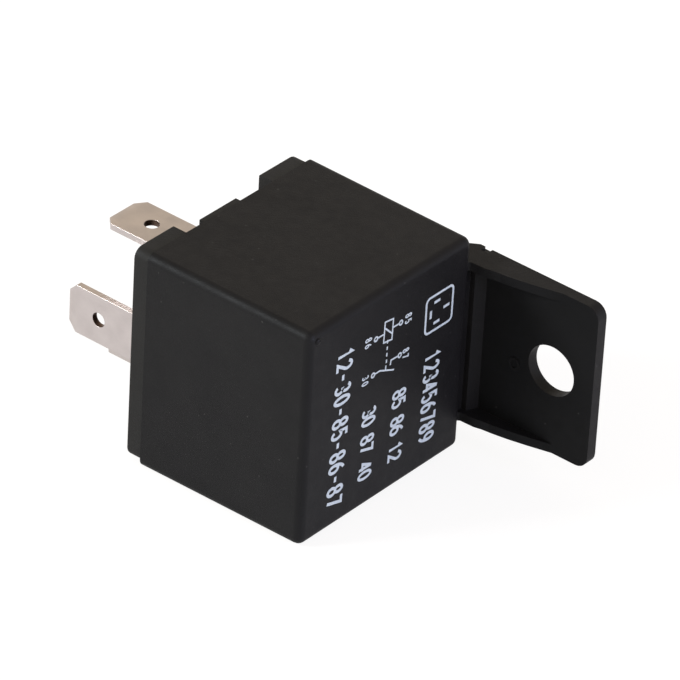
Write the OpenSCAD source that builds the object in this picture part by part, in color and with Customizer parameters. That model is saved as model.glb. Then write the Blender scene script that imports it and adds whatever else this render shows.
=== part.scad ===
// Automotive mini relay: four blade terminals, one make contact, moulded cover
// with a mounting tab.
//
// It lies on one side. +X runs from the blade tips to the closed end of the
// cover, +Y towards the mounting tab, +Z up. The modules work in the relay's
// own axes: x = 0 on the outer face of the base, y = z = 0 on the axis of the
// square body. place() then moves everything to the shared origin, which is
// the middle of the bottom of the bounding box.

/* [Body] */
// Width of the square cover across its flats (mm)
body_w = 28.4; // [26:0.2:31]
// Length from the outer face of the base to the closed end of the cover (mm)
body_len = 25.6; // [25:0.2:29]
// Radius of the cover's outer edges (mm)
edge_r = 1.05; // [0.6:0.05:1.3]
// Thickness of the cover's side walls (mm)
wall = 1.25; // [1:0.05:1.4]
// Thickness of the cover's closed end (mm)
end_wall = 1.45; // [1:0.05:1.7]
// Height of the base rim that shows below the cover (mm)
rim_len = 2.3; // [1.8:0.1:2.7]
// Step from the cover's outside in to the base rim (mm)
rim_inset = 0.3; // [0.1:0.1:0.6]
// Depth of the base plug inside the cover (mm)
plug_len = 2.5; // [2.2:0.1:2.9]

/* [Mounting tab] */
// Length of the tab beyond the closed end of the cover (mm)
tab_len = 16.4; // [14:0.2:20]
// Width of the tab (mm)
tab_w = 21.6; // [19:0.2:24]
// Thickness of the tab's plate (mm)
tab_t = 1.5; // [1:0.05:1.6]
// Distance from the cover's back wall out to the back of the tab (mm)
tab_offset = 3.4; // [2.6:0.1:4]
// Radius of the tab's outer corners (mm)
tab_corner_r = 1.6; // [0.8:0.1:3]
// Diameter of the mounting hole (mm)
hole_d = 6.4; // [4.3:0.1:7]
// Distance from the tab's end to the middle of the hole (mm)
hole_from_end = 5.9; // [5:0.1:7]
// Length of the tapering ribs along the tab's edges (mm)
rib_len = 11.5; // [8:0.5:13]
// Thickness of those ribs (mm)
rib_t = 1.15; // [0.8:0.05:1.5]

/* [Terminals] */
// Width of a blade (mm)
blade_w = 6.3; // [6.1:0.1:6.5]
// Thickness of a blade (mm)
blade_t = 0.8; // [0.7:0.05:0.85]
// Length of a blade beyond the base (mm)
blade_len = 11.45; // [10:0.05:12.5]
// Chamfer at the corners of a blade's tip (mm)
tip_chamfer = 1.1; // [0.6:0.05:1.5]
// Diameter of the detent hole in a blade (mm)
blade_hole_d = 1.8; // [1.4:0.1:2]
// Distance from a blade's tip to its detent hole (mm)
blade_hole_from_tip = 4.5; // [3.8:0.1:4.8]
// Distance between the two coil blades (mm)
coil_blade_pitch = 16.8; // [16.6:0.1:17.2]

/* [Magnet and contacts] */
// Thickness of the yoke (mm)
yoke_t = 1.5; // [1.3:0.1:1.6]
// Thickness of the armature (mm)
armature_t = 1.5; // [1.2:0.1:1.6]
// Diameter of the core (mm)
core_d = 6; // [5:0.1:6.2]
// Distance from the edge of the bobbin's flanges in to the winding (mm)
winding_inset = 0.3; // [0.2:0.1:1]
// Thickness of the contact spring (mm)
spring_t = 0.25; // [0.2:0.01:0.28]
// Diameter of the contact faces (mm)
contact_d = 3.2; // [2.6:0.1:3.3]
// Gap between the open contacts (mm)
contact_gap = 0.74; // [0.74:0.02:0.9]

/* [Hidden] */

$fn = 48;
eps = 0.01;
seat = 0.05;          // gap between two faces that rest on each other
slide_gap = 0.1;      // gap round a piece that slides into place
flange_gap = 0.3;     // between the bobbin's flanges and the yoke
arc_steps = 6;        // flats in a quarter turn of a bend or rounding

half_w = body_w / 2;
half_in = half_w - wall;                  // half width of the cover's cavity
cavity_end = body_len - end_wall;
base_top = rim_len + plug_len;            // inner face of the base

// The base
rim_half = half_w - rim_inset;
plug_half = half_in - slide_gap;
foot_len = 6.8;                           // corner feet of the rim
foot_y = half_w - foot_len;
rim_gap_d = 2.3;                          // depth of the gaps between the feet
pad_y = [-4.4, 1.8];                      // low pad in the middle of each gap
pad_h = 0.95;
border = 2;                               // round the sunk outer face
sunk_d = 0.6;
collar = 1.3;                             // raised border round each blade
ridge_x = rim_len + plug_len / 2;         // snap ridges on two sides of the plug
ridge_r = 0.35;
ridge_half = 5;

// The tab
tab_back = half_w + tab_offset;           // y of the tab's back face
tab_front = tab_back - tab_t;
tab_end = body_len + tab_len;
hole_x = tab_end - hole_from_end;
root_step = 0.75;                         // root block beyond the closed end
root_front = half_w + 0.5;                // y of the root block's front
root_back = 1.6;                          // from the closed end to the slope
root_x = body_len - root_back;
root_slope = 5.15;                        // run of the slope behind the root
notch_x = body_len - 0.9;                 // small notch in the root's edges
notch_len = 1;
notch_d = 0.3;

// Places across the body, taken from the cover's inner walls
yoke_room = 3.9;                          // behind the yoke's inner face
coil_share = 0.545;                       // share of the cavity's height for the flanges
blade_30_room = 5.15;                     // from the wall to each blade's middle
blade_87_room = 2.03;
contact_room = 4.6;                       // from the wall to the contacts' axis
tag_room = 2.3;                           // from the flange to the coil tags
blade_85_shift = 0.85;                    // from the coil tags to the blades
blade_86_shift = 0.4;
yoke_in = half_in - yoke_room;            // inner face of the yoke's upright leg
flange_half = coil_share * half_in;        // half width of the bobbin's flanges
coil_y = yoke_in - flange_gap - flange_half;  // y of the coil's axis
y_30 = half_in - blade_30_room;
y_87 = blade_87_room - half_in;
y_tag = coil_y - flange_half + tag_room;
y_85 = y_tag + blade_85_shift;
y_86 = y_tag + blade_86_shift;
z_coil = coil_blade_pitch / 2;
contact_y = contact_room - half_in;

// Terminals
tag_w = 2.4;                              // coil blades narrow to a tag inside
tag_rise = 5;
tag_top = base_top + tag_rise;
tongue_w = 2.8;                           // blade 30 narrows to a tongue
tongue_shift = 0.9;
tongue_y = y_30 - tongue_shift;

// The magnet, stacked from the base up
flange_t = 0.8;
flange_chamfer = 1.6;
tube_d = core_d + 2 * slide_gap + 1.2;    // bobbin's tube round the core
ear_wall = 0.85;                          // bobbin's ears round the coil tags
wire_d = 0.4;
lead_rise = 1.6;                          // leads leave this far up the winding
yoke_w = 12.6;
yoke_x0 = base_top + seat;
yoke_x1 = yoke_x0 + yoke_t;
hinge_room = 6;                           // from the hinge to the closed end
yoke_top = body_len - hinge_room;         // hinge edge
bend_r = 0.4;                             // inside radius of the sheet bends
neck_d = 4.4;                             // core's riveted neck in the yoke
pole_inset = 2.5;                         // from the flange's edge
pole_d = 2 * (flange_half - pole_inset);
pole_t = 0.8;
pole_gap = 0.55;
pole_top = yoke_top + seat - pole_gap;
bobbin_x0 = yoke_x1 + seat;
bobbin_x1 = pole_top - pole_t - seat;

// The armature and what rides on it
armature_x0 = yoke_top + seat;
armature_x1 = armature_x0 + armature_t;
heel_y = yoke_in + yoke_t - 0.3;
toe_room = 2.3;                           // from the contacts' axis to the toe
toe_y = contact_y + toe_room;
toe_half = 3.6;
toe_chamfer = 0.8;
waist_half = 4.5;                         // half width between hinge and toe
hinge_depth = 2;                          // full width at the hinge, then a taper
waist_taper = 2.2;
spring_x0 = armature_x1 + seat;
spring_x1 = spring_x0 + spring_t;
spring_mid = spring_x0 + spring_t / 2;
spring_w = 2 * waist_half;
loop_r = 1.5;                             // loop round the armature's heel
leg_below = 3;                            // straight leg, from the yoke rivets
leg_above = 3.2;
window_half = 1.5;
contact_t = 0.85;
crown_r = 6;
spring_end = contact_y - contact_d / 2 - 0.05;
end_half = 2.5;                           // half width of the contact arms
tip_taper = 0.75;                         // at the spring's tip
tip_half = 0.7;
shank_r = 0.7;
head_d = 2.4;
head_t = 0.4;
rivet_room = 2;                           // armature rivets, from its toe
armature_rivet_y = toe_y + rivet_room;
armature_rivet_z = 2.4;
yoke_rivet_rise = 6.7;                    // yoke rivets, from the base
yoke_rivet_x = base_top + yoke_rivet_rise;
yoke_rivet_z = 3.2;
make_x = armature_x1 - contact_t;         // face of the moving contact
fixed_face = make_x - contact_gap;
arm_87_x1 = fixed_face - contact_t - seat;    // top of blade 87's contact arm
stop_x0 = spring_x1 + seat + head_t + seat;   // underside of the rest stop
stop_room = 0.95;                             // from blade 87 to its upright
stop_w = 3.6;
stop_z = blade_w / 2 + stop_room;
stop_foot = rim_len - 1;

// The shared origin
origin_x = (tab_end - blade_len) / 2;
origin_y = (tab_back - half_w) / 2;

module place() {
    translate([-origin_x, -origin_y, half_w]) children();
}

// ---- shapes used by several pieces -----------------------------------------

// Corner points of a rectangle with rounded corners, centred on the axis
function rounded_rect(w, h, r) = [
    for (c = [[1, 1, 0], [-1, 1, 90], [-1, -1, 180], [1, -1, 270]])
        for (i = [0 : arc_steps])
            let (a = c[2] + 90 * i / arc_steps)
                [c[0] * (w / 2 - r) + r * cos(a), c[1] * (h / 2 - r) + r * sin(a)]];

// Points along a circular arc
function arc(c, r, a0, a1) = [
    for (i = [0 : arc_steps])
        let (a = a0 + (a1 - a0) * i / arc_steps) c + r * [cos(a), sin(a)]];

function unit(v) = v / norm(v);

// Outline of a sheet of thickness t whose middle follows a path of points
function sheet(path, t) =
    let (n = len(path),
         side = [for (i = [0 : n - 1])
             let (d = unit(path[min(i + 1, n - 1)] - path[max(i - 1, 0)]))
                 [-d[1], d[0]] * t / 2])
    concat([for (i = [0 : n - 1]) path[i] + side[i]],
           [for (i = [n - 1 : -1 : 0]) path[i] - side[i]]);

// Outline in [y, z], from x0 to x1
module prism_x(x0, x1, points) {
    translate([x0, 0, 0]) rotate([90, 0, 90])
        linear_extrude(x1 - x0) polygon(points);
}

// Outline in [x, z], from y0 to y1
module prism_y(y0, y1, points) {
    translate([0, y1, 0]) rotate([90, 0, 0])
        linear_extrude(y1 - y0) polygon(points);
}

// Outline in [x, y], from z0 to z1
module prism_z(z0, z1, points) {
    translate([0, 0, z0]) linear_extrude(z1 - z0) polygon(points);
}

module box(lo, hi) {
    translate(lo) cube(hi - lo);
}

module rod_x(x0, x1, d) {
    translate([x0, 0, 0]) rotate([0, 90, 0]) cylinder(d = d, h = x1 - x0);
}

module rod_y(y0, y1, d) {
    translate([0, y0, 0]) rotate([-90, 0, 0]) cylinder(d = d, h = y1 - y0);
}

// Its children, and the same again mirrored top to bottom
module top_and_bottom() {
    children();
    mirror([0, 0, 1]) children();
}

// Square block from x0 to x1, with rounded corners and a rounded edge at x1
module rounded_block(x0, x1, w, corner_r, end_r) {
    way = sign(x1 - x0);
    hull() {
        prism_x(min(x0, x0 + way * eps), max(x0, x0 + way * eps),
                rounded_rect(w, w, corner_r));
        for (i = [0 : arc_steps]) {
            a = 90 * i / arc_steps;
            inset = end_r * (1 - cos(a));
            x = x1 - way * end_r * (1 - sin(a));
            prism_x(min(x, x - way * eps), max(x, x - way * eps),
                    rounded_rect(w - 2 * inset, w - 2 * inset,
                                 max(corner_r - inset, 0.05)));
        }
    }
}

// Outline in [x, across] of a blade with its middle at 0, out to x1
function blade(x1) = [
    [-blade_len + tip_chamfer, -blade_w / 2], [x1, -blade_w / 2],
    [x1, blade_w / 2], [-blade_len + tip_chamfer, blade_w / 2],
    [-blade_len, blade_w / 2 - tip_chamfer],
    [-blade_len, -blade_w / 2 + tip_chamfer]];

blade_hole_x = blade_hole_from_tip - blade_len;

// A blade that lies flat, its width along y
module flat_blade(y, z) {
    translate([0, y, z]) difference() {
        prism_z(-blade_t / 2, blade_t / 2, blade(base_top));
        translate([blade_hole_x, 0, -blade_t])
            cylinder(d = blade_hole_d, h = 2 * blade_t);
    }
}

// ---- housing ---------------------------------------------------------------

// Outline in [x, y] of a rib, flush with the back wall at its root
rib_outline = concat(
    [[body_len - edge_r / 2, half_w - 0.5], [body_len - edge_r / 2, tab_back]],
    [[body_len + rib_len, tab_back]],
    [for (i = [0 : 2 * arc_steps])
        let (a = 90 * (1 - i / (2 * arc_steps)))
            [body_len + rib_len * a / 90,
             tab_front + eps - (tab_front - half_w + 0.1) * cos(a)]]);

module tab_plate() {
    // rounded at its outer end only
    x0 = body_len - root_step;
    outline = concat(
        [[x0, -tab_w / 2]],
        arc([tab_end - tab_corner_r, -tab_w / 2 + tab_corner_r],
            tab_corner_r, -90, 0),
        arc([tab_end - tab_corner_r, tab_w / 2 - tab_corner_r],
            tab_corner_r, 0, 90),
        [[x0, tab_w / 2]]);
    prism_y(tab_front, tab_back, outline);
}

module tab_root() {
    prism_z(-tab_w / 2, tab_w / 2, [
        [root_x - root_slope, half_w - 0.5],
        [root_x - root_slope, half_w],
        [root_x, tab_back],
        [body_len + root_step, tab_back],
        [body_len + root_step, root_front],
        [body_len - edge_r / 2, root_front],
        [body_len - edge_r / 2, half_w - 0.5]]);
}

module cover() {
    color("#26262a") place() difference() {
        union() {
            rounded_block(rim_len, body_len, body_w, edge_r, edge_r);
            tab_root();
            tab_plate();
            top_and_bottom() prism_z(tab_w / 2 - rib_t, tab_w / 2, rib_outline);
        }
        box([rim_len - 1, -half_in, -half_in], [cavity_end, half_in, half_in]);
        translate([hole_x, 0, 0]) rod_y(tab_front - 1, tab_back + 1, hole_d);
        // notches in the edges of the tab's root
        top_and_bottom() box([notch_x, tab_front + 0.6, tab_w / 2 - notch_d],
                             [notch_x + notch_len, tab_back + 1, tab_w / 2 + 1]);
        // grooves for the base's snap ridges
        for (s = [-1, 1])
            translate([ridge_x, s * plug_half, -ridge_half - 0.2])
                cylinder(r = ridge_r + slide_gap, h = 2 * ridge_half + 0.4);
    }
}

// Slot through the base for a blade, with its gap
module blade_slot(lo, hi, x0 = -1) {
    box([x0, lo[0] - seat, lo[1] - seat], [base_top + 1, hi[0] + seat, hi[1] + seat]);
}

// Raised border round a blade on the outer face of the base
module blade_collar(lo, hi) {
    box([0, lo[0] - collar, lo[1] - collar],
        [sunk_d + 0.3, hi[0] + collar, hi[1] + collar]);
}

blade_87 = [[y_87 - blade_t / 2, -blade_w / 2], [y_87 + blade_t / 2, blade_w / 2]];
blade_30 = [[y_30 - blade_w / 2, -blade_t / 2], [y_30 + blade_w / 2, blade_t / 2]];
blade_85 = [[y_85 - blade_w / 2, -z_coil - blade_t / 2],
            [y_85 + blade_w / 2, -z_coil + blade_t / 2]];
blade_86 = [[y_86 - blade_w / 2, z_coil - blade_t / 2],
            [y_86 + blade_w / 2, z_coil + blade_t / 2]];
all_blades = [blade_87, blade_30, blade_85, blade_86];

// The cut between two corner feet of the rim
module rim_gap() {
    box([-1, -foot_y, rim_half - rim_gap_d], [rim_len, foot_y, half_w + 1]);
}

module base() {
    sunk_z = rim_half - rim_gap_d - border;
    color("#303034") place() difference() {
        union() {
            difference() {
                rounded_block(rim_len, 0, 2 * rim_half, 1.3, 0.25);
                box([-1, border - rim_half, -sunk_z],
                    [sunk_d, rim_half - border, sunk_z]);
                top_and_bottom() rim_gap();
            }
            for (b = all_blades) blade_collar(b[0], b[1]);
            top_and_bottom()
                box([rim_len - pad_h, pad_y[0], rim_half - rim_gap_d - eps],
                    [rim_len, pad_y[1], rim_half]);
            box([rim_len - eps, -plug_half, -plug_half],
                [base_top, plug_half, plug_half]);
            for (s = [-1, 1])
                translate([ridge_x, s * plug_half, -ridge_half])
                    cylinder(r = ridge_r, h = 2 * ridge_half);
        }
        for (b = all_blades) blade_slot(b[0], b[1]);
        blade_slot([y_87 - blade_t / 2, stop_z],
                   [y_87 + blade_t / 2, stop_z + stop_w], stop_foot - seat);
    }
}

// ---- terminals -------------------------------------------------------------

module terminal_30() {
    color("#c9c2b6") place() {
        flat_blade(y_30, 0);
        // tongue through the yoke's foot
        box([base_top - eps, tongue_y - tongue_w / 2, -blade_t / 2],
            [yoke_x1, tongue_y + tongue_w / 2, blade_t / 2]);
    }
}

module coil_terminal(y, z) {
    color("#c9c2b6") place() {
        flat_blade(y, z);
        box([base_top - eps, y_tag - tag_w / 2, z - blade_t / 2],
            [tag_top, y_tag + tag_w / 2, z + blade_t / 2]);
    }
}

module terminal_85() { coil_terminal(y_85, -z_coil); }
module terminal_86() { coil_terminal(y_86, z_coil); }

module terminal_87() {
    mid_r = bend_r + blade_t / 2;
    corner = [arm_87_x1 - blade_t / 2 - mid_r, y_87 + mid_r];
    path = concat([[base_top - 1, y_87]], arc(corner, mid_r, -90, 0),
                  [[arm_87_x1 - blade_t / 2, contact_y + contact_d / 2 + 0.2]]);
    color("#c9c2b6") place() difference() {
        union() {
            prism_y(y_87 - blade_t / 2, y_87 + blade_t / 2, blade(base_top));
            // upright and contact arm inside the cover
            prism_z(-end_half, end_half, sheet(path, blade_t));
        }
        translate([blade_hole_x, 0, 0])
            rod_y(y_87 - blade_t, y_87 + blade_t, blade_hole_d);
        translate([0, contact_y, 0])
            rod_x(arm_87_x1 - 2 * blade_t, arm_87_x1 + 1, 2 * (shank_r + seat));
    }
}

module rest_stop() {
    mid_r = bend_r + blade_t / 2;
    mid_x = stop_x0 + blade_t / 2;
    path = concat([[stop_foot, y_87]],
                  arc([mid_x - mid_r, y_87 + mid_r], mid_r, -90, 0),
                  [[mid_x, contact_y + contact_d / 2]]);
    color("#b9b2a4") place() {
        prism_z(stop_z, stop_z + stop_w, sheet(path, blade_t));
        // arm across, over the moving contact
        box([stop_x0, contact_y - contact_d / 2, -contact_d / 2],
            [stop_x0 + blade_t, contact_y + contact_d / 2, stop_z + stop_w]);
    }
}

// ---- magnet ----------------------------------------------------------------

module yoke() {
    mid_r = bend_r + yoke_t / 2;
    foot = yoke_x0 + yoke_t / 2;
    leg = yoke_in + yoke_t / 2;
    path = concat([[foot, coil_y - flange_half]],
                  arc([foot + mid_r, leg - mid_r], mid_r, 180, 90),
                  [[yoke_top, leg]]);
    color("#9a9a98") place() difference() {
        prism_z(-yoke_w / 2, yoke_w / 2, sheet(path, yoke_t));
        translate([0, coil_y, 0])
            rod_x(yoke_x0 - 1, yoke_x1 + 1, neck_d + 2 * seat);
        box([yoke_x0 - 1, tongue_y - tongue_w / 2 - seat, -blade_t / 2 - seat],
            [yoke_x1 + 1, tongue_y + tongue_w / 2 + seat, blade_t / 2 + seat]);
        for (s = [-1, 1])
            translate([yoke_rivet_x, 0, s * yoke_rivet_z])
                rod_y(yoke_in - 1, yoke_in + yoke_t + 1, 2 * (shank_r + seat));
    }
}

module core() {
    color("#a8a8a6") place() translate([0, coil_y, 0]) {
        rod_x(yoke_x0, bobbin_x0 + eps, neck_d);
        rod_x(bobbin_x0, pole_top - pole_t + eps, core_d);
        rod_x(pole_top - pole_t, pole_top, pole_d);
    }
}

module bobbin() {
    f = flange_half;
    c = f - flange_chamfer;
    flange = [[-c, -f], [c, -f], [f, -c], [f, c], [c, f], [-c, f], [-f, c], [-f, -c]];
    tag_y = y_tag - coil_y;
    color("#ece7d6") place() translate([0, coil_y, 0]) difference() {
        union() {
            prism_x(bobbin_x0, bobbin_x0 + flange_t, flange);
            prism_x(bobbin_x1 - flange_t, bobbin_x1, flange);
            rod_x(bobbin_x0, bobbin_x1, tube_d);
            // ears that hold the coil tags
            top_and_bottom()
                box([bobbin_x0, tag_y - tag_w / 2 - ear_wall, c],
                    [bobbin_x0 + flange_t, tag_y + tag_w / 2 + ear_wall,
                     z_coil + blade_t / 2 + ear_wall]);
        }
        rod_x(bobbin_x0 - 1, bobbin_x1 + 1, core_d + 2 * slide_gap);
        top_and_bottom()
            box([bobbin_x0 - 1, tag_y - tag_w / 2 - seat,
                 z_coil - blade_t / 2 - seat],
                [bobbin_x0 + flange_t + 1, tag_y + tag_w / 2 + seat,
                 z_coil + blade_t / 2 + seat]);
    }
}

module coil_winding() {
    // the leads leave from inside the turns, level with the tags
    winding_d = 2 * (flange_half - winding_inset);
    lead_x = bobbin_x0 + flange_t + lead_rise;
    from_z = sqrt(pow(winding_d / 2 - wire_d, 2) - pow(y_tag - coil_y, 2));
    to_z = z_coil - blade_t / 2 - seat;
    color("#b4622d") place() {
        translate([0, coil_y, 0]) difference() {
            rod_x(bobbin_x0 + flange_t + seat, bobbin_x1 - flange_t - seat, winding_d);
            rod_x(bobbin_x0, bobbin_x1, tube_d + 2 * seat);
        }
        for (s = [-1, 1])
            translate([lead_x, y_tag, s > 0 ? from_z : -to_z])
                cylinder(d = wire_d, h = to_z - from_z);
    }
}

// ---- armature group --------------------------------------------------------

module armature() {
    wide_y = yoke_in - hinge_depth;
    half_outline = [[heel_y, yoke_w / 2], [wide_y, yoke_w / 2],
                    [wide_y - waist_taper, waist_half],
                    [toe_y + toe_chamfer, waist_half], [toe_y, toe_half]];
    outline = concat(half_outline,
                     [for (i = [len(half_outline) - 1 : -1 : 0])
                         [half_outline[i][0], -half_outline[i][1]]]);
    color("#8f9092") place() difference() {
        prism_x(armature_x0, armature_x1, outline);
        for (s = [-1, 1])
            translate([0, armature_rivet_y, s * armature_rivet_z])
                rod_x(armature_x0 - 1, armature_x1 + 1, 2 * (shank_r + seat));
    }
}

// The spring's middle line in [x, y]: up the back of the yoke, out round the
// armature's heel and along the armature to the contact
function spring_path(leg) =
    let (loop_c = [spring_mid - loop_r, heel_y - slide_gap],
         leg_end = yoke_rivet_x + leg_above,
         swell = loop_c[1] + loop_r - leg)
    concat([[yoke_rivet_x - leg_below, leg]],
           [for (i = [0 : arc_steps - 1])
               let (t = i / arc_steps)
                   [leg_end + t * (loop_c[0] - leg_end),
                    leg + swell * t * t * (3 - 2 * t)]],
           arc(loop_c, loop_r, 90, 0),
           [[spring_mid, spring_end]]);

module contact_spring() {
    leg = yoke_in + yoke_t + seat + spring_t / 2;
    out = spring_w / 2 + 1;
    hole_r = shank_r + seat;
    color("#c58a55") place() difference() {
        prism_z(-spring_w / 2, spring_w / 2, sheet(spring_path(leg), spring_t));
        // window that softens the hinge
        box([yoke_rivet_x + leg_above + 1, yoke_in - hinge_depth, -window_half],
            [spring_x1 + 1, half_in, window_half]);
        // the end narrows towards the contact
        top_and_bottom() prism_x(spring_x0 - 1, spring_x1 + 1, [
            [armature_rivet_y + head_d / 2, out],
            [armature_rivet_y + head_d / 2, spring_w / 2], [toe_y, end_half],
            [spring_end + tip_taper, end_half],
            [spring_end - eps, tip_half], [spring_end - eps, out]]);
        top_and_bottom() {
            translate([yoke_rivet_x, 0, yoke_rivet_z])
                rod_y(leg - 1, leg + 1, 2 * hole_r);
            translate([0, armature_rivet_y, armature_rivet_z])
                rod_x(spring_x0 - 1, spring_x1 + 1, 2 * hole_r);
        }
        translate([0, contact_y, 0])
            rod_x(spring_x0 - 1, spring_x1 + 1, 2 * hole_r);
    }
}

module moving_contact() {
    color("#d8d8d4") place() translate([0, contact_y, 0]) {
        intersection() {
            rod_x(make_x, armature_x1, contact_d);
            translate([make_x + crown_r, 0, 0]) sphere(r = crown_r, $fn = 96);
        }
        rod_x(armature_x1 - eps, spring_x1 + seat + eps, 2 * shank_r);
        rod_x(spring_x1 + seat, spring_x1 + seat + head_t, head_d);
    }
}

module fixed_contact() {
    color("#d8d8d4") place() translate([0, contact_y, 0]) {
        rod_x(arm_87_x1 + seat, fixed_face, contact_d);
        rod_x(arm_87_x1 - blade_t - seat - eps, arm_87_x1 + seat + eps, 2 * shank_r);
        rod_x(arm_87_x1 - blade_t - seat - head_t, arm_87_x1 - blade_t - seat, head_d);
    }
}

module armature_rivets() {
    color("#c4c4c2") place()
        for (s = [-1, 1])
            translate([0, armature_rivet_y, s * armature_rivet_z]) {
                rod_x(armature_x0, spring_x1 + seat + eps, 2 * shank_r);
                rod_x(spring_x1 + seat, spring_x1 + seat + head_t, head_d);
            }
}

module yoke_rivets() {
    out = yoke_in + yoke_t + 2 * seat + spring_t;
    color("#c4c4c2") place()
        for (s = [-1, 1])
            translate([yoke_rivet_x, 0, s * yoke_rivet_z]) {
                rod_y(yoke_in - seat - head_t, yoke_in - seat + eps, head_d);
                rod_y(yoke_in - seat, out + eps, 2 * shank_r);
                rod_y(out, out + head_t, head_d);
            }
}

cover();
base();
terminal_30();
terminal_87();
terminal_85();
terminal_86();
rest_stop();
yoke();
core();
bobbin();
coil_winding();
armature();
contact_spring();
moving_contact();
fixed_contact();
armature_rivets();
yoke_rivets();
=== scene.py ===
"""Looks of an automotive relay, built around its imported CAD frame.

Lengths in this file are millimetres in the relay's own axes, which are those of
the part's source: x = 0 on the base's outer face, y = z = 0 on the axis of the
square body. AT moves them into the shared frame, in metres.
"""
import math

import bmesh
import bpy
from mathutils import Matrix, Vector


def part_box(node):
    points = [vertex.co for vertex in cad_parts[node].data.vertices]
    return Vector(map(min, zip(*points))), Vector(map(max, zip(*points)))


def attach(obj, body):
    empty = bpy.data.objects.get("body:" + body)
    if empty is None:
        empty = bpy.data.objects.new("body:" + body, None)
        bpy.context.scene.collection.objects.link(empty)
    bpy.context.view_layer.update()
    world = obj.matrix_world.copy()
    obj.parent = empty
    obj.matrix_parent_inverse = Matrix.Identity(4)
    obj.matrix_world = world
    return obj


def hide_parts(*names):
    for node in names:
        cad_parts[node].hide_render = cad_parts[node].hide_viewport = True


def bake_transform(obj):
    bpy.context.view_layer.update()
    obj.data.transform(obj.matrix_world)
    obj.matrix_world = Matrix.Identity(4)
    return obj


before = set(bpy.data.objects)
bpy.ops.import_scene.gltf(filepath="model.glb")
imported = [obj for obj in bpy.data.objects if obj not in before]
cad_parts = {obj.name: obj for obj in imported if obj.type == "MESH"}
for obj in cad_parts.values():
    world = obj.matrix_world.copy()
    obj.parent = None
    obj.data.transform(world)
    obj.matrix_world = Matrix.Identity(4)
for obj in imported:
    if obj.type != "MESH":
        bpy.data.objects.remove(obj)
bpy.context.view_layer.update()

# ---- places, taken from the frame -------------------------------------------

MM = 0.001
Y, Z = 1, 2
cover_lo, cover_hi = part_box("cover")
base_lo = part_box("base")[0]

half_w = (cover_hi.z - cover_lo.z) / 2 / MM
rim_len = (cover_lo.x - base_lo.x) / MM
AT = Matrix.Translation((base_lo.x, cover_lo.y + half_w * MM, half_w * MM)) @ Matrix.Scale(MM, 4)


def own(point):
    """A point of the shared frame, in the relay's own axes."""
    return AT.inverted() @ Vector(point)


def middle_of(name):
    """The middle of a CAD node's box, in the relay's own axes."""
    lo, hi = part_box(name)
    return own((lo + hi) / 2)


tab_back = own(cover_hi).y

# Lengths of the part's source that no node's box gives
body_len = 25.6
tab_t = 1.5
blade_w = 6.3
blade_hole_from_tip = 4.5
blade_hole_r = 0.9
coil_blade_z = 8.4

near = 0.01             # how close counts as the same place
ink_height = 0.02       # how far the print stands proud

# The axis that each blade is thin along
BLADES = {"terminal_30": Z, "terminal_85": Z, "terminal_86": Z, "terminal_87": Y}


# ---- mesh helpers -----------------------------------------------------------

def finish_piece(bm, name, body, material, nodes=()):
    """Makes the mesh an object that takes the nodes' place, with smooth shading up to an angle.

    It rides on the body, or on none, and has the given material.
    """
    sharp_from = math.radians(40)
    bm.transform(AT)
    bmesh.ops.recalc_face_normals(bm, faces=bm.faces)
    mesh = bpy.data.meshes.new(name)
    bm.to_mesh(mesh)
    bm.free()
    mesh.shade_smooth()
    mesh.set_sharp_from_angle(angle=sharp_from)
    piece = bpy.data.objects.new(name, mesh)
    bpy.context.collection.objects.link(piece)
    weighted = piece.modifiers.new("flat faces stay flat", "WEIGHTED_NORMAL")
    weighted.keep_sharp = True
    mesh.materials.append(material)
    if nodes:
        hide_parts(*nodes)
    if body:
        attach(piece, body)
    return piece


def node_mesh(name):
    """The CAD node's mesh with its triangles joined into whole faces, in the relay's own axes."""
    bm = bmesh.new()
    bm.from_mesh(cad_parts[name].data)
    bm.transform(AT.inverted())
    bmesh.ops.remove_doubles(bm, verts=bm.verts, dist=1e-3)
    bmesh.ops.dissolve_limit(bm, angle_limit=math.radians(1), verts=bm.verts, edges=bm.edges)
    return bm


def ease_edges(bm, width, segments=3, over=40):
    """Rounds the edges that turn more than over degrees, as moulding or tumbling does."""
    bm.normal_update()
    edges = [e for e in bm.edges
             if len(e.link_faces) == 2 and e.calc_face_angle() > math.radians(over)]
    bmesh.ops.bevel(bm, geom=edges, offset=width, segments=segments, profile=0.5,
                    affect="EDGES", clamp_overlap=True)


class Sheet:
    """A flat place to draw on: an origin, two directions on it and a way out of it."""

    def __init__(self, origin, right, up):
        self.origin, self.right, self.up = (Vector(v) for v in (origin, right, up))
        self.out = self.right.cross(self.up)

    def at(self, point, lift):
        """The place of a point of the drawing, lifted off the sheet."""
        return self.origin + self.right * point[0] + self.up * point[1] + self.out * lift


def arc(centre, rx, ry, start, end, steps=12):
    """Points on part of an ellipse, angles in degrees."""
    angles = (math.radians(start + (end - start) * i / steps) for i in range(steps + 1))
    return [(centre[0] + rx * math.cos(a), centre[1] + ry * math.sin(a)) for a in angles]


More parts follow.
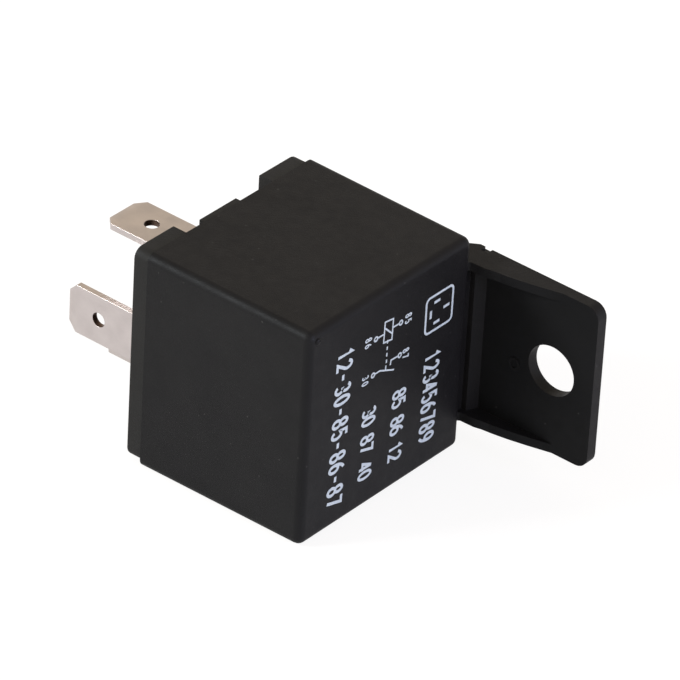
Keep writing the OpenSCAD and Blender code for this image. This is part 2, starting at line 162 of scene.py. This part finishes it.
def stroke(bm, sheet, points, width, height):
    """A pen line of constant width along the points, standing height proud of the sheet."""
    sink = 0.01             # its underside, just below the sheet
    points = [Vector(p) for p in points]
    closed = (points[0] - points[-1]).length < 1e-6
    if closed:
        points.pop()
    count = len(points)
    rails = []
    for i, point in enumerate(points):
        before = points[i - 1] if i or closed else None
        after = points[(i + 1) % count] if i < count - 1 or closed else None
        ways = [(b - a).normalized() for a, b in ((before, point), (point, after)) if a and b]
        along = sum(ways, Vector((0, 0))).normalized()
        miter = min(1 / max(along.dot(ways[0]), 0.1), 2.0)
        side = Vector((-along.y, along.x)) * width / 2 * miter
        rails.append([bm.verts.new(sheet.at(point + s * side, lift))
                      for s, lift in ((1, height), (-1, height), (-1, -sink), (1, -sink))])
    for i in range(count if closed else count - 1):
        here, there = rails[i], rails[(i + 1) % count]
        for k in range(4):
            bm.faces.new((here[k], here[(k + 1) % 4], there[(k + 1) % 4], there[k]))
    if not closed:
        bm.faces.new(rails[0])
        bm.faces.new(reversed(rails[-1]))


def draw(bm, sheet, lines, width, height):
    """Lines of one drawing. Each lies a hair above the last, so that crossings stay clean."""
    hair = 0.002
    for i, line in enumerate(lines):
        stroke(bm, sheet, line, width, height + i * hair)


# Plain digits, one unit high and 0.56 wide, as pen lines
DIGITS = {
    "0": [arc((0.28, 0.5), 0.28, 0.5, 0, 360, 24)],
    "1": [[(0.08, 0.78), (0.3, 1), (0.3, 0)]],
    "2": [arc((0.28, 0.72), 0.28, 0.28, 165, -35) + [(0, 0), (0.56, 0)]],
    "3": [arc((0.27, 0.74), 0.25, 0.26, 150, -90) + arc((0.27, 0.25), 0.29, 0.25, 90, -150)],
    "4": [[(0.42, 0), (0.42, 1)], [(0.42, 1), (0, 0.28), (0.58, 0.28)]],
    "5": [[(0.52, 1), (0.08, 1), (0.04, 0.56)] + arc((0.27, 0.32), 0.29, 0.32, 120, -150)],
    "6": [arc((0.28, 0.3), 0.28, 0.3, 0, 360, 20), arc((0.56, 0.3), 0.56, 0.7, 180, 100)],
    "7": [[(0, 1), (0.56, 1), (0.2, 0)]],
    "8": [arc((0.28, 0.75), 0.24, 0.25, 0, 360, 20), arc((0.28, 0.26), 0.28, 0.26, 0, 360, 20)],
    "9": [arc((0.28, 0.7), 0.28, 0.3, 0, 360, 20), arc((0, 0.7), 0.56, 0.7, 0, -80)],
    "-": [[(0.06, 0.46), (0.5, 0.46)]],
}


def write(bm, sheet, text, place, tall, pitch, width, height, slope=0.0, stretch=1.0):
    """Digits tall high, one each pitch, from place along the sheet's right, slope degrees off it."""
    turn = Matrix.Rotation(math.radians(slope), 2)
    for i, sign in enumerate(text):
        lines = [[Vector((i * pitch + p[0] * tall * stretch, p[1] * tall)) for p in line]
                 for line in DIGITS.get(sign, [])]
        placed = [[Vector(place) + turn @ p for p in line] for line in lines]
        draw(bm, sheet, placed, width, height)


# ---- materials --------------------------------------------------------------

def new_material(name):
    """A material with its node tree and its shader."""
    material = bpy.data.materials.new(name)
    material.use_nodes = True
    tree = material.node_tree
    return material, tree, tree.nodes["Principled BSDF"]


def node(tree, kind, **inputs):
    """A shader node with the named inputs set."""
    made = tree.nodes.new(kind)
    for key, value in inputs.items():
        made.inputs[key.replace("_", " ")].default_value = value
    return made


def coordinates(tree):
    """The place on the object, in metres, so that patterns move with it."""
    return tree.nodes.new("ShaderNodeTexCoord").outputs["Object"]


def noise(tree, size, detail=2.0, roughness=0.5):
    """Noise with features about size millimetres across."""
    made = node(tree, "ShaderNodeTexNoise", Scale=1 / (size * MM), Detail=detail,
                Roughness=roughness)
    tree.links.new(coordinates(tree), made.inputs["Vector"])
    return made.outputs["Fac"]


def ramp(tree, source, low, high, start=0.3, end=0.7):
    """source, from start to end, mapped to two colours or grey levels."""
    made = tree.nodes.new("ShaderNodeValToRGB")
    for element, place, value in zip(made.color_ramp.elements, (start, end), (low, high)):
        element.position = place
        element.color = (value,) * 3 + (1,) if isinstance(value, float) else (*value, 1)
    tree.links.new(source, made.inputs["Fac"])
    return made.outputs["Color"]


def bump(tree, shader, *heights):
    """heights are (source, depth in millimetres), laid one over the other."""
    normal = None
    for source, depth in heights:
        made = node(tree, "ShaderNodeBump", Strength=1.0, Distance=depth * MM)
        tree.links.new(source, made.inputs["Height"])
        if normal:
            tree.links.new(normal, made.inputs["Normal"])
        normal = made.outputs["Normal"]
    tree.links.new(normal, shader.inputs["Normal"])


def dust(tree, clean):
    """A few pale specks, a tenth of a millimetre across, over a clean colour."""
    apart = 1.9
    cells = node(tree, "ShaderNodeTexVoronoi", Scale=1 / (apart * MM))
    tree.links.new(coordinates(tree), cells.inputs["Vector"])
    share = ramp(tree, cells.outputs["Distance"], 1.0, 0.0, start=0.025, end=0.06)
    mix = tree.nodes.new("ShaderNodeMix")
    mix.data_type = "RGBA"
    factor, under, over = mix.inputs[0], mix.inputs[6], mix.inputs[7]   # its colour sockets
    over.default_value = (0.06, 0.06, 0.06, 1)
    tree.links.new(share, factor)
    tree.links.new(clean, under)
    return mix.outputs[2]


def moulded_plastic(name, dark, light, rough, grain):
    """Black moulded plastic: eroded grain, faint flow clouds, uneven sheen."""
    material, tree, shader = new_material(name)
    clouds = noise(tree, 6.0, detail=3.0)
    fine = noise(tree, grain, detail=3.0, roughness=0.6)
    specks = dust(tree, ramp(tree, clouds, dark, light))
    tree.links.new(specks, shader.inputs["Base Color"])
    tree.links.new(ramp(tree, noise(tree, 1.5), rough - 0.05, rough + 0.05),
                   shader.inputs["Roughness"])
    shader.inputs["Specular IOR Level"].default_value = 0.16
    shader.inputs["Specular Tint"].default_value = (0.86, 0.94, 1.0, 1.0)
    bump(tree, shader, (fine, 0.035), (noise(tree, 3.0), 0.012))
    return material


def stamped_metal(name, dark, light, rough, grain_along=(1.0, 1.0, 1.0)):
    """Rolled and plated strip: fine rolling lines, cloudy plating, small scuffs."""
    material, tree, shader = new_material(name)
    stretch = tree.nodes.new("ShaderNodeVectorMath")
    stretch.operation = "MULTIPLY"
    stretch.inputs[1].default_value = grain_along
    tree.links.new(coordinates(tree), stretch.inputs[0])
    line_width = 0.12
    lines = node(tree, "ShaderNodeTexNoise", Scale=1 / (line_width * MM), Detail=3.0)
    tree.links.new(stretch.outputs["Vector"], lines.inputs["Vector"])
    clouds = noise(tree, 2.5, detail=4.0)
    tree.links.new(ramp(tree, clouds, dark, light), shader.inputs["Base Color"])
    tree.links.new(ramp(tree, clouds, rough + 0.06, rough - 0.04), shader.inputs["Roughness"])
    shader.inputs["Metallic"].default_value = 1.0
    bump(tree, shader, (lines.outputs["Fac"], 0.0025), (noise(tree, 1.0), 0.008))
    return material


def print_ink(name):
    """Pad-printed ink, a little uneven."""
    material, tree, shader = new_material(name)
    blotches = noise(tree, 0.4, detail=3.0)
    tree.links.new(ramp(tree, blotches, (0.56, 0.67, 0.75), (0.70, 0.80, 0.87)),
                   shader.inputs["Base Color"])
    shader.inputs["Roughness"].default_value = 0.55
    return material


COVER = moulded_plastic("cover_plastic", (0.0102, 0.0100, 0.0108), (0.0132, 0.0129, 0.0136), 0.48, 0.14)
# Painted shade: the tab's front gets a darker copy of the cover's plastic, standing in for the shade it
# lies in.
TAB_FACE_PAINTED_SHADE = moulded_plastic("tab_face_painted_shade", (0.0066, 0.0066, 0.0072), (0.0086, 0.0086, 0.0092), 0.55, 0.12)
BASE = moulded_plastic("base_plastic", (0.021, 0.021, 0.021), (0.026, 0.026, 0.026), 0.55, 0.16)
BOBBIN = moulded_plastic("bobbin_plastic", (0.70, 0.66, 0.55), (0.80, 0.76, 0.64), 0.42, 0.5)
# Painted reflection: a dark brown metal for the walls of the blades' holes, standing in for the dark
# they mirror.
HOLE_WALL_PAINTED_DARK = stamped_metal("hole_wall_painted_reflection", (0.10, 0.065, 0.055), (0.17, 0.115, 0.09), 0.42)
TIN = stamped_metal("tinned_brass", (0.625, 0.58, 0.572), (0.715, 0.665, 0.655), 0.34, (0.15, 1, 1))
STEEL = stamped_metal("plated_steel", (0.50, 0.50, 0.49), (0.60, 0.60, 0.59), 0.36, (1, 1, 0.1))
COPPER = stamped_metal("enamelled_copper", (0.48, 0.16, 0.05), (0.62, 0.24, 0.09), 0.30)
SPRING = stamped_metal("spring_copper", (0.62, 0.34, 0.19), (0.75, 0.45, 0.27), 0.30, (0.2, 1, 1))
SILVER = stamped_metal("contact_silver", (0.72, 0.72, 0.70), (0.84, 0.84, 0.82), 0.28)
RIVET = stamped_metal("rivet_steel", (0.54, 0.54, 0.54), (0.64, 0.64, 0.64), 0.32)
INK = print_ink("print_ink")


# ---- outer pieces -----------------------------------------------------------

def taper(bm, draft):
    """The mould's draft: the cover is that much narrower on each side at its closed end."""
    for vert in bm.verts:
        along = min(max(vert.co.x - rim_len, 0) / (body_len - rim_len), 1)
        keep = 1 - draft / half_w * along
        vert.co.z *= keep
        if abs(vert.co.y) < half_w + near:      # not the tab, which stands out past the back
            vert.co.y *= keep


def slant_root(bm):
    """The root block leans back towards the cover, as its fillet does."""
    root_step, root_lift, lean = 0.75, 0.5, 0.6
    for vert in bm.verts:
        past_end, past_back = vert.co.x - body_len, vert.co.y - half_w
        if abs(past_end - root_step) < near and abs(past_back - root_lift) < near:
            vert.co.x -= lean


def make_cover():
    """The moulded box with its tab, whose front is a little duller, and painted darker as painted
    shade.
    """
    draft, rounding = 0.16, 0.22
    bm = node_mesh("cover")
    slant_root(bm)
    taper(bm, draft)
    ease_edges(bm, rounding)
    cover = finish_piece(bm, "moulded_cover", "housing", COVER, ["cover"])
    # The tab's front faces take the darker copy of the plastic: painted shade.
    cover.data.materials.append(TAB_FACE_PAINTED_SHADE)
    for face in cover.data.polygons:
        at = own(face.center)
        on_tab = at.x > body_len and half_w + 0.2 < at.y < tab_back - 0.5
        if on_tab and face.normal.y < -0.9:
            face.material_index = 1


def make_moulding_marks():
    """The ring that an ejector pin left on the tab, and the gate on the closed end."""
    bm = bmesh.new()
    tab_front = Sheet((0, tab_back - tab_t, 0), (1, 0, 0), (0, 0, 1))
    pin_at, pin_half_len, pin_half_height = (31.0, -1.4), 0.6, 0.68
    ring = arc(pin_at, pin_half_len, pin_half_height, 0, 360, 32)
    stroke(bm, tab_front, ring, width=0.24, height=0.12)
    gate_at, gate_r, flatness = (body_len, -12.75, half_w - 1.3), 0.42, 0.6
    gate = Matrix.Translation(gate_at) @ Matrix.Diagonal((flatness, 1, 1, 1))
    bmesh.ops.create_icosphere(bm, subdivisions=3, radius=gate_r, matrix=gate)
    finish_piece(bm, "moulding_marks", "housing", COVER)


def make_base():
    """The moulded base, with its rim's edges a little rounded."""
    rounding = 0.14
    bm = node_mesh("base")
    ease_edges(bm, rounding)
    finish_piece(bm, "moulded_base", "housing", BASE, ["base"])


def make_terminal(name, flat_axis):
    """A blade with a coined tip and tumbled edges, the walls of its hole painted dark as a painted
    reflection. flat_axis is the axis it is thin along.
    """
    coin_len, coin_to, rounding = 1.15, 0.55, 0.055
    bm = node_mesh(name)
    tip = min(v.co.x for v in bm.verts)
    coin_end = tip + coin_len
    everything = bm.verts[:] + bm.edges[:] + bm.faces[:]
    bmesh.ops.bisect_plane(bm, geom=everything, plane_co=(coin_end, 0, 0), plane_no=(1, 0, 0))
    outer = [v.co[flat_axis] for v in bm.verts if v.co.x < coin_end + near]
    middle = (min(outer) + max(outer)) / 2
    for vert in bm.verts:
        if vert.co.x < coin_end - near:
            share = (coin_end - vert.co.x) / coin_len
            keep = 1 - (1 - coin_to) * share
            vert.co[flat_axis] = middle + (vert.co[flat_axis] - middle) * keep
    ease_edges(bm, rounding, segments=2, over=35)
    hole = Vector((tip + blade_hole_from_tip, *middle_of(name).yz))
    piece = finish_piece(bm, name.replace("terminal", "blade"), "housing", TIN,
                         [name])
    # The walls of the hole take the dark metal: painted reflection.
    piece.data.materials.append(HOLE_WALL_PAINTED_DARK)
    for face in piece.data.polygons:
        corners = [own(piece.data.vertices[i].co) - hole for i in face.vertices]
        away = [math.hypot(c.x, c[Y + Z - flat_axis]) for c in corners]
        faces_in = abs(face.normal[flat_axis]) < 0.3
        if faces_in and max(away) < blade_hole_r + 2 * near:
            face.material_index = 1


# ---- print and numbers ------------------------------------------------------

def relay_symbol(bm, sheet):
    """The usual circuit symbol: coil between 85 and 86, contact between 30 and 87.

    Its points are distances down the face from the top, and towards the tab from the middle.
    """
    thin, ring_r = 0.2, 0.27
    box = [(4.55, 0.40), (7.25, 0.33), (7.05, -1.12), (4.35, -1.05), (4.55, 0.40)]
    coil_bar = [(5.1, -1.08), (6.5, 0.36)]
    coil_wires = [[(5.72, 0.38), (5.73, 1.5)], [(5.9, -1.1), (5.87, -2.27)]]
    still_contact = [(10.1, 1.64), (10.06, 0.4), (10.68, 0.33)]
    swing_contact = [(10.58, -2.41), (10.56, -1.5), (11.62, 1.05)]
    link_end = [(10.35, -0.46), (10.98, -0.48)]
    first, dash, dash_pitch = 6.99, 0.44, 0.86
    starts = (first + i * dash_pitch for i in range(4))
    link = [[(x, -0.42), (x + dash, -0.43)] for x in starts]
    rings = [arc(place, ring_r, ring_r, 0, 360, 20)
             for place in ((5.73, 1.77), (5.86, -2.54), (10.11, 1.91), (10.58, -2.68))]
    lines = [box, coil_bar, *coil_wires, still_contact, swing_contact, link_end, *link, *rings]
    draw(bm, sheet, lines, thin, ink_height)
    for text, place in (("85", (5.2, 2.6)), ("86", (5.2, -4.32)), ("87", (9.8, 2.5)),
                        ("30", (10.12, -4.48))):
        write(bm, sheet, text, place, tall=1.0, pitch=0.77, width=0.17, height=ink_height,
              slope=-1.5, stretch=0.62)


def terminal_pictogram(bm, sheet, middle_at, scale):
    """The blades as they stand in the base, in a frame with rounded corners."""
    half, corner, frame_line, blade_line = half_w * scale, 0.6, 0.3, 0.36
    outline = []
    for cx, cy, start in ((1, 1, 0), (-1, 1, 90), (-1, -1, 180), (1, -1, 270)):
        centre = (middle_at[0] + cx * (half - corner), middle_at[1] + cy * (half - corner))
        outline += arc(centre, corner, corner, start, start + 90, 6)
    stroke(bm, sheet, outline + outline[:1], frame_line, ink_height)
    reach = blade_w / 2 * scale
    for name, flat_axis in BLADES.items():
        at = middle_of(name)
        place = Vector((middle_at[0] - at.z * scale, middle_at[1] + at.y * scale))
        along = Vector((0, reach)) if flat_axis == Z else Vector((reach, 0))
        stroke(bm, sheet, [place - along, place + along], blade_line, ink_height)


def make_print():
    """Pad print on the closed end. Its lines run down the face, their tops towards the tab."""
    sheet = Sheet((body_len, 0, half_w), (0, 0, -1), (0, 1, 0))
    bm = bmesh.new()
    relay_symbol(bm, sheet)
    terminal_pictogram(bm, sheet, middle_at=(7.3, 8.6), scale=0.165)
    write(bm, sheet, "12-30-85-86-87", (4.85, -9.0), tall=2.45, pitch=1.49, width=0.4,
          height=ink_height, slope=-1.6, stretch=0.66)
    write(bm, sheet, "123456789", (12.7, 6.7), tall=2.45, pitch=1.36, width=0.38,
          height=ink_height, slope=-1.0, stretch=0.6)
    for text, place in (("85 86 12", (15.0, 1.26)), ("30 87 40", (14.9, -4.0))):
        write(bm, sheet, text, place, tall=2.1, pitch=1.2, width=0.36, height=ink_height,
              slope=-1.0, stretch=0.74)
    finish_piece(bm, "printed_symbols", "housing", INK)


def make_terminal_numbers():
    """Raised numbers, each aside of its blade or above it, on the sunk outer face of the base."""
    sunk, tall, half_wide = 0.6, 2.2, 1.4
    sheet = Sheet((sunk, 0, 0), (0, -1, 0), (0, 0, 1))
    bm = bmesh.new()
    for name, blade_z, aside, above in (("terminal_30", 0, 0, 3.2),
                                        ("terminal_87", 0, 4.6, 0),
                                        ("terminal_85", -coil_blade_z, 0, 3.4),
                                        ("terminal_86", coil_blade_z, 0, -3.4)):
        place = (-middle_of(name).y - aside - half_wide, blade_z + above - tall / 2)
        write(bm, sheet, name[-2:], place, tall, pitch=1.6, width=0.32, height=0.25)
    finish_piece(bm, "terminal_numbers", "housing", BASE)


# ---- inner pieces -----------------------------------------------------------

def make_winding():
    """Enamelled wire, wound turn by turn between the bobbin's flanges, with its two leads."""
    wire, tube_r, around = 0.4, 3.75, 72
    lo, hi = (own(corner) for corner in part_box("coil_winding"))
    axis_y = middle_of("coil_winding").y
    outer = (hi.y - lo.y) / 2 - wire / 2
    turns = int((hi.x - lo.x) / wire)
    profile = [(lo.x + near, tube_r)]
    for i in range(turns):
        profile += arc((lo.x + (i + 0.5) * wire, outer), wire / 2, wire / 2, 170, 10, 5)
    profile.append((lo.x + turns * wire, tube_r))
    bm = bmesh.new()
    rings = [[bm.verts.new((x, axis_y + r * math.cos(a), r * math.sin(a)))
              for a in (math.tau * k / around for k in range(around))] for x, r in profile]
    for here, there in zip(rings, rings[1:] + rings[:1]):
        for k in range(around):
            after = (k + 1) % around
            bm.faces.new((here[k], here[after], there[after], there[k]))
    add_leads(bm, lo, hi, wire)
    finish_piece(bm, "wound_coil", "housing", COPPER, ["coil_winding"])


def add_leads(bm, lo, hi, wire):
    """The wire's two ends, from the turns out to the tags of blades 85 and 86.

    lo and hi are the corners of the CAD winding, whose lead ends reach the tags.
    """
    tag_room, from_flange, inside = 2.3, 1.6, 4.0
    tag_y = own(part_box("bobbin")[0]).y + tag_room
    for way, reach in ((1, hi.z), (-1, -lo.z)):
        place = Matrix.Translation((lo.x + from_flange, tag_y, way * (inside + reach) / 2))
        bmesh.ops.create_cone(bm, cap_ends=True, segments=16, radius1=wire / 2, radius2=wire / 2,
                              depth=reach - inside, matrix=place)


def make_spring():
    """The contact spring, from the end of its leg on the yoke to the armature's heel, as the CAD node
    has it.
    """
    bm = node_mesh("contact_spring")
    piece = finish_piece(bm, "leaf_spring", None, SPRING, ["contact_spring"])
    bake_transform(piece)


def dress_inner_nodes():
    """Materials for the CAD nodes that are shown as they are."""
    finish = {"rest_stop": TIN, "bobbin": BOBBIN,
              "yoke": STEEL, "core": STEEL, "armature": STEEL,
              "moving_contact": SILVER, "fixed_contact": SILVER,
              "armature_rivets": RIVET, "yoke_rivets": RIVET}
    for name, material in finish.items():
        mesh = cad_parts[name].data
        mesh.materials.clear()
        mesh.materials.append(material)


# ---- stage ------------------------------------------------------------------

def make_camera():
    """The photograph's viewing angle: direction, roll, distance and framing."""
    azimuth, elevation, roll = (math.radians(a) for a in (37.97, 33.64, 3.36))
    target = Vector((13.125, 0, 0))
    distance, to_right, upwards = 733.0, 4.42, 1.003
    back = Vector((math.sin(azimuth) * math.cos(elevation),
                   -math.cos(azimuth) * math.cos(elevation), math.sin(elevation)))
    level = Vector((math.cos(azimuth), math.sin(azimuth), 0))
    upright = back.cross(level)
    right = level * math.cos(roll) + upright * math.sin(roll)
    up = upright * math.cos(roll) - level * math.sin(roll)
    camera = bpy.data.objects.new("camera", bpy.data.cameras.new("camera"))
    bpy.context.collection.objects.link(camera)
    camera.data.sensor_width = 36
    camera.data.lens = 347.8
    camera.data.clip_start, camera.data.clip_end = 0.05, 20
    turn = Matrix((right, up, back)).transposed()
    place = AT @ (target + back * distance + right * to_right + up * upwards)
    camera.matrix_world = Matrix.Translation(place) @ turn.to_4x4()
    bpy.context.scene.camera = camera


def either(tree, first, second):
    """The greater of two values."""
    both = tree.nodes.new("ShaderNodeMath")
    both.operation = "MAXIMUM"
    tree.links.new(first, both.inputs[0])
    tree.links.new(second, both.inputs[1])
    return both.outputs[0]


def by_ray(tree, shown, lit, seen):
    """A level by kind of ray: shown to the camera, lit for diffuse rays, seen in reflections."""
    path = tree.nodes.new("ShaderNodeLightPath")
    mirrored = either(tree, path.outputs["Is Glossy Ray"], path.outputs["Is Transmission Ray"])
    off_camera = node(tree, "ShaderNodeMix", A=lit, B=seen)
    level = node(tree, "ShaderNodeMix", B=shown)
    tree.links.new(mirrored, off_camera.inputs["Factor"])
    tree.links.new(off_camera.outputs["Result"], level.inputs["A"])
    tree.links.new(path.outputs["Is Camera Ray"], level.inputs["Factor"])
    return level.outputs["Result"]


def make_floor():
    """A pale floor that shows white and keeps a faint shadow."""
    half_size = 3.0     # metres
    bm = bmesh.new()
    bmesh.ops.create_grid(bm, x_segments=1, y_segments=1, size=half_size)
    mesh = bpy.data.meshes.new("floor")
    bm.to_mesh(mesh)
    bm.free()
    floor = bpy.data.objects.new("floor", mesh)
    bpy.context.collection.objects.link(floor)
    material, tree, shader = new_material("pale_floor")
    mesh.materials.append(material)
    shader.inputs["Roughness"].default_value = 0.9
    shader.inputs["Specular IOR Level"].default_value = 0.0
    shader.inputs["Emission Color"].default_value = (1, 1, 1, 1)
    grey = by_ray(tree, shown=0.24, lit=0.50, seen=0.55)
    glow = by_ray(tree, shown=0.86, lit=0.0, seen=0.36)
    tree.links.new(grey, shader.inputs["Base Color"])
    tree.links.new(glow, shader.inputs["Emission Strength"])


def make_world():
    """White at the horizon, where the backdrop meets the floor, then warm, and dim overhead."""
    world = bpy.data.worlds.new("studio")
    bpy.context.scene.world = world
    world.use_nodes = True
    tree = world.node_tree
    direction = tree.nodes.new("ShaderNodeTexCoord")
    height = tree.nodes.new("ShaderNodeSeparateXYZ")
    tree.links.new(direction.outputs["Generated"], height.inputs[0])
    white, warm, dim = (1.0, 1.0, 1.0, 1), (0.715, 0.61, 0.485, 1), (0.28, 0.26, 0.23, 1)
    colour = tree.nodes.new("ShaderNodeValToRGB")
    stops = colour.color_ramp.elements
    stops[0].position, stops[0].color = 0.06, white
    stops[1].position, stops[1].color = 0.32, warm
    for place, level in ((0.62, warm), (0.85, dim)):
        stops.new(place).color = level
    tree.links.new(height.outputs["Z"], colour.inputs["Fac"])
    tree.links.new(colour.outputs["Color"], tree.nodes["Background"].inputs["Color"])


def soft_lamp(name, place, size, watts, colour):
    """A square softbox that faces the relay. Its place and size are metres, in the frame."""
    data = bpy.data.lights.new(name, "AREA")
    data.size = size
    data.energy = watts
    data.color = colour
    lamp = bpy.data.objects.new(name, data)
    bpy.context.collection.objects.link(lamp)
    aim = AT @ Vector((12, 0, 0))
    lamp.location = place
    lamp.rotation_euler = (Vector(place) - aim).to_track_quat("Z", "Y").to_euler()


def make_lights():
    """A key from the camera's left, and a bluish one on the printed end."""
    soft_lamp("key", (-0.44, -0.54, 0.42), 0.22, 4.0, (1.0, 1.0, 1.0))
    soft_lamp("right", (0.75, 0.05, 0.30), 0.30, 3.0, (0.72, 0.72, 1.0))


make_cover()
make_moulding_marks()
make_base()
for blade, flat_axis in BLADES.items():
    make_terminal(blade, flat_axis)
make_print()
make_terminal_numbers()
make_winding()
make_spring()
dress_inner_nodes()
make_camera()
make_floor()
make_world()
make_lights()
bpy.context.scene.view_settings.view_transform = "Standard"
